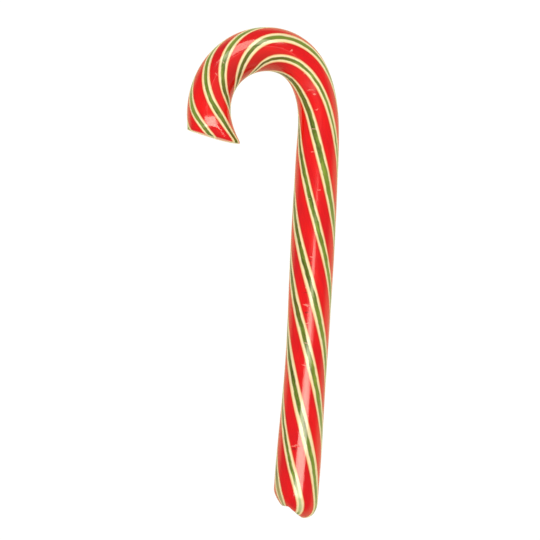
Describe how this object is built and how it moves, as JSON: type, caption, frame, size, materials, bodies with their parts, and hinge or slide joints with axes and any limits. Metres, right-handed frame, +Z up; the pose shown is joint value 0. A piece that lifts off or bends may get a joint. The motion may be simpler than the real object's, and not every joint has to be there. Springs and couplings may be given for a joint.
{
  "type": "candy cane",
  "caption": "Hard candy cane lying on its side: a round twisted-stripe stick of pulled boiled sugar with one end bent into a hook.",
  "frame": {"origin": "on the surface that the cane lies on, at the middle of its outline seen from above", "axes": "+Y along the shaft from the foot to the hook's crown, +X from the hook's tip towards the shaft, +Z up out of the side that shows"},
  "size_m": [0.0474, 0.1524, 0.0137],
  "materials": {
    "boiled_sugar": "glossy hard sugar, red with twisted cream and green stripes"
  },
  "bodies": {
    "root": {"candy_cane": "boiled_sugar"}
  },
  "joints": []
}
